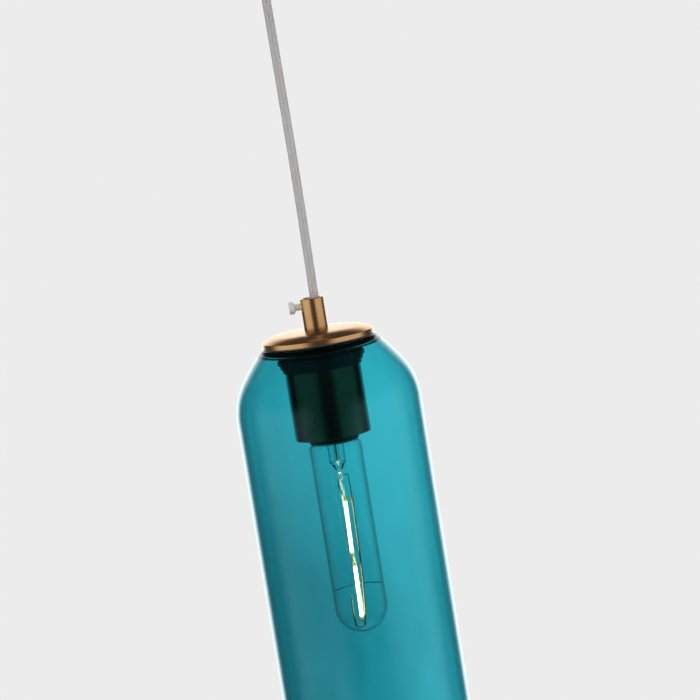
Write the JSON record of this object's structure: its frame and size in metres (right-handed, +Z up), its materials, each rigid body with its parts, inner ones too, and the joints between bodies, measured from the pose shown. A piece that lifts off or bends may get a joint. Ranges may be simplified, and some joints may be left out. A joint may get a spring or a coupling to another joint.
{
  "type": "pendant light",
  "caption": "Pendant light: ceiling canopy, straight clear cord, brass grip and domed cap over a long teal glass cylinder with a tubular filament bulb inside.",
  "frame": {"origin": "middle of the bracket face that lies on the ceiling", "axes": "+Z up, out of the lamp into the ceiling; the thumb screw of the lamp grip points along -X"},
  "size_m": [0.11, 0.11, 0.5592],
  "materials": {
    "satin_brass": "satin brushed brass",
    "nickel": "knurled nickel plate",
    "zinc_steel": "zinc plated steel",
    "clear_cord": "clear jacket over silver-grey twisted strands",
    "core_insulation": "smooth insulation",
    "block_plastic": "moulded off-white nylon",
    "teal_glass": "blown glass, clear outside with a teal inner layer",
    "clear_glass": "clear bulb glass",
    "silicone": "translucent silicone",
    "black_rubber": "matt black rubber",
    "black_plate": "black lacquered steel",
    "holder_black": "black phenolic moulding",
    "contact_brass": "plain brass",
    "base_nickel": "nickel plated brass shell",
    "base_glass": "black fused glass",
    "cement": "baked basing cement",
    "lead_wire": "drawn wire",
    "filament_glow": "yellow phosphor strip, lit"
  },
  "bodies": {
    "ceiling": {"canopy": "satin_brass", "ceiling_bracket": "zinc_steel", "canopy_side_screws": "satin_brass", "terminal_block": "block_plastic", "terminal_block_screws": "zinc_steel", "ceiling_cores": "core_insulation", "ceiling_cord_tail": "clear_cord", "ceiling_nut": "zinc_steel", "ceiling_nipple": "zinc_steel", "ceiling_cord_grip": "satin_brass", "ceiling_grip_screw": "nickel"},
    "cord": {"cord": "clear_cord"},
    "lamp": {"lamp_cord_grip": "satin_brass", "lamp_cord_tail": "clear_cord", "lamp_nipple": "zinc_steel", "cap_disc": "satin_brass", "nipple_washer": "zinc_steel", "nipple_nut": "zinc_steel", "upper_gasket": "silicone", "glass_shade": "teal_glass", "lower_gasket": "silicone", "clamp_plate": "black_plate", "rubber_washer": "black_rubber", "ring_nut": "black_plate", "holder_sleeve": "satin_brass", "holder_cap": "holder_black", "holder_body": "holder_black", "holder_terminal_screws": "zinc_steel", "lamp_cores": "core_insulation", "screw_shell": "contact_brass", "centre_contact": "contact_brass"},
    "thumb_screw_shank": {"thumb_screw_shank": "nickel"},
    "thumb_screw_head": {"thumb_screw_head": "nickel"},
    "bulb_base": {"bulb_base_shell": "base_nickel", "bulb_insulator": "base_glass", "bulb_contact": "base_nickel", "base_cement": "cement"},
    "bulb": {"bulb_glass": "clear_glass", "glass_mount": "clear_glass", "exhaust_tube": "clear_glass", "inner_leads": "lead_wire", "short_lead": "lead_wire", "long_lead": "lead_wire", "crimp_sleeve": "contact_brass", "return_wire": "lead_wire", "upper_filament": "filament_glow", "filament_link": "lead_wire", "lower_filament": "filament_glow", "filament_tail": "lead_wire", "anchor_wire": "lead_wire"}
  },
  "joints": [
    {"name": "cord_swing", "type": "hinge", "parent": "ceiling", "child": "cord", "pos_m": [0.0018, 0, -0.0414], "axis": [0, 1, 0], "range_deg": [-20, 20]},
    {"name": "lamp_tilt", "type": "hinge", "parent": "cord", "child": "lamp", "pos_m": [0.0018, 0, -0.2346], "axis": [1, 0, 0], "range_deg": [-15, 15]},
    {"name": "thumb_screw_travel", "type": "slide", "parent": "lamp", "child": "thumb_screw_shank", "axis": [-1, 0, 0], "range_m": [0, 0.0028]},
    {"name": "thumb_screw_turn", "type": "hinge", "parent": "thumb_screw_shank", "child": "thumb_screw_head", "pos_m": [-0.012, 0, -0.2374], "axis": [-1, 0, 0], "range_deg": [0, 1440]},
    {"name": "bulb_travel", "type": "slide", "parent": "lamp", "child": "bulb_base", "axis": [0, 0, -1], "range_m": [0, 0.01997]},
    {"name": "bulb_turn", "type": "hinge", "parent": "bulb_base", "child": "bulb", "pos_m": [0, 0, -0.35], "axis": [0, 0, -1], "range_deg": [0, 1980]}
  ],
  "couplings": [
    {"joint": "thumb_screw_turn", "follows": "thumb_screw_travel", "rad_per_m": 8976},
    {"joint": "bulb_turn", "follows": "bulb_travel", "rad_per_m": 1730.9}
  ]
}
